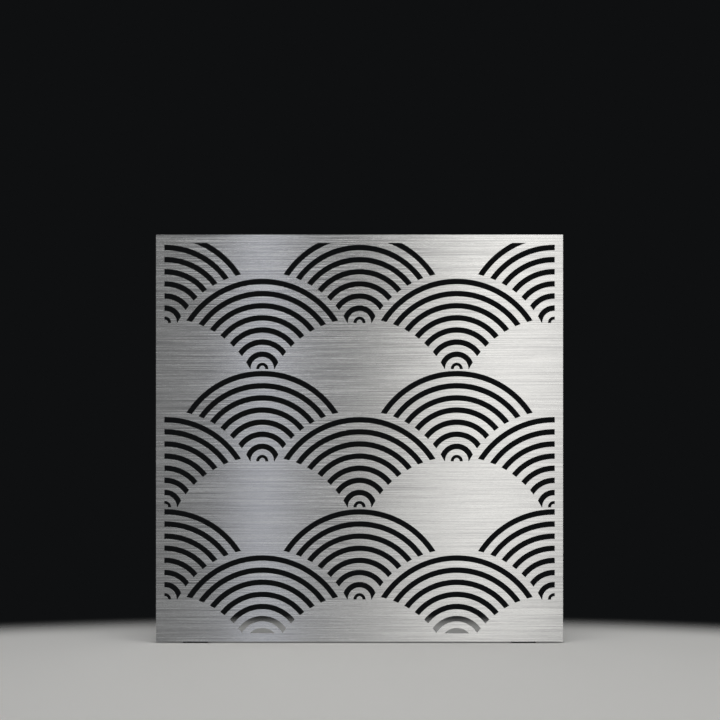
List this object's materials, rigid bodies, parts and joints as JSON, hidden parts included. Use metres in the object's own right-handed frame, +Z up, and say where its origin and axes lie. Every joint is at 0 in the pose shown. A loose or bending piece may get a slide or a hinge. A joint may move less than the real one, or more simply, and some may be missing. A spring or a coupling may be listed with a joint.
{
  "type": "free-standing laser-cut metal screen",
  "caption": "Square brushed stainless screen, laser cut with overlapping wave scales, stiffened behind by a folded angle frame and held upright by bent plate feet.",
  "frame": {"origin": "middle of the footprint, on the floor under the rubber pads", "axes": "+X to the right of a person who looks at the brushed face, +Y from that person to the back, +Z up"},
  "size_m": [1, 0.3, 1.004],
  "materials": {
    "brushed_stainless": "brushed sideways, satin",
    "mill_stainless": "cold-rolled mill finish, dull",
    "stainless_fastener": "bright, plain",
    "rubber": "matt black"
  },
  "bodies": {
    "root": {"corner_plate_bottom_left": "mill_stainless", "corner_plate_bottom_right": "mill_stainless", "corner_plate_top_left": "mill_stainless", "corner_plate_top_right": "mill_stainless", "foot_left": "mill_stainless", "foot_nut_left_1": "stainless_fastener", "foot_nut_left_2": "stainless_fastener", "foot_nut_left_3": "stainless_fastener", "foot_nut_right_1": "stainless_fastener", "foot_nut_right_2": "stainless_fastener", "foot_nut_right_3": "stainless_fastener", "foot_right": "mill_stainless", "foot_stud_left_1": "stainless_fastener", "foot_stud_left_2": "stainless_fastener", "foot_stud_left_3": "stainless_fastener", "foot_stud_right_1": "stainless_fastener", "foot_stud_right_2": "stainless_fastener", "foot_stud_right_3": "stainless_fastener", "frame_bottom_rail": "mill_stainless", "frame_left_stile": "mill_stainless", "frame_nut_bottom_1": "stainless_fastener", "frame_nut_bottom_2": "stainless_fastener", "frame_nut_bottom_3": "stainless_fastener", "frame_nut_bottom_4": "stainless_fastener", "frame_nut_left_1": "stainless_fastener", "frame_nut_left_2": "stainless_fastener", "frame_nut_left_3": "stainless_fastener", "frame_nut_left_4": "stainless_fastener", "frame_nut_right_1": "stainless_fastener", "frame_nut_right_2": "stainless_fastener", "frame_nut_right_3": "stainless_fastener", "frame_nut_right_4": "stainless_fastener", "frame_nut_top_1": "stainless_fastener", "frame_nut_top_2": "stainless_fastener", "frame_nut_top_3": "stainless_fastener", "frame_nut_top_4": "stainless_fastener", "frame_right_stile": "mill_stainless", "frame_stud_bottom_1": "stainless_fastener", "frame_stud_bottom_2": "stainless_fastener", "frame_stud_bottom_3": "stainless_fastener", "frame_stud_bottom_4": "stainless_fastener", "frame_stud_left_1": "stainless_fastener", "frame_stud_left_2": "stainless_fastener", "frame_stud_left_3": "stainless_fastener", "frame_stud_left_4": "stainless_fastener", "frame_stud_right_1": "stainless_fastener", "frame_stud_right_2": "stainless_fastener", "frame_stud_right_3": "stainless_fastener", "frame_stud_right_4": "stainless_fastener", "frame_stud_top_1": "stainless_fastener", "frame_stud_top_2": "stainless_fastener", "frame_stud_top_3": "stainless_fastener", "frame_stud_top_4": "stainless_fastener", "frame_top_rail": "mill_stainless", "front_pad_left": "rubber", "front_pad_right": "rubber", "rear_pad_left": "rubber", "rear_pad_right": "rubber", "screen_sheet": "brushed_stainless"}
  },
  "joints": []
}
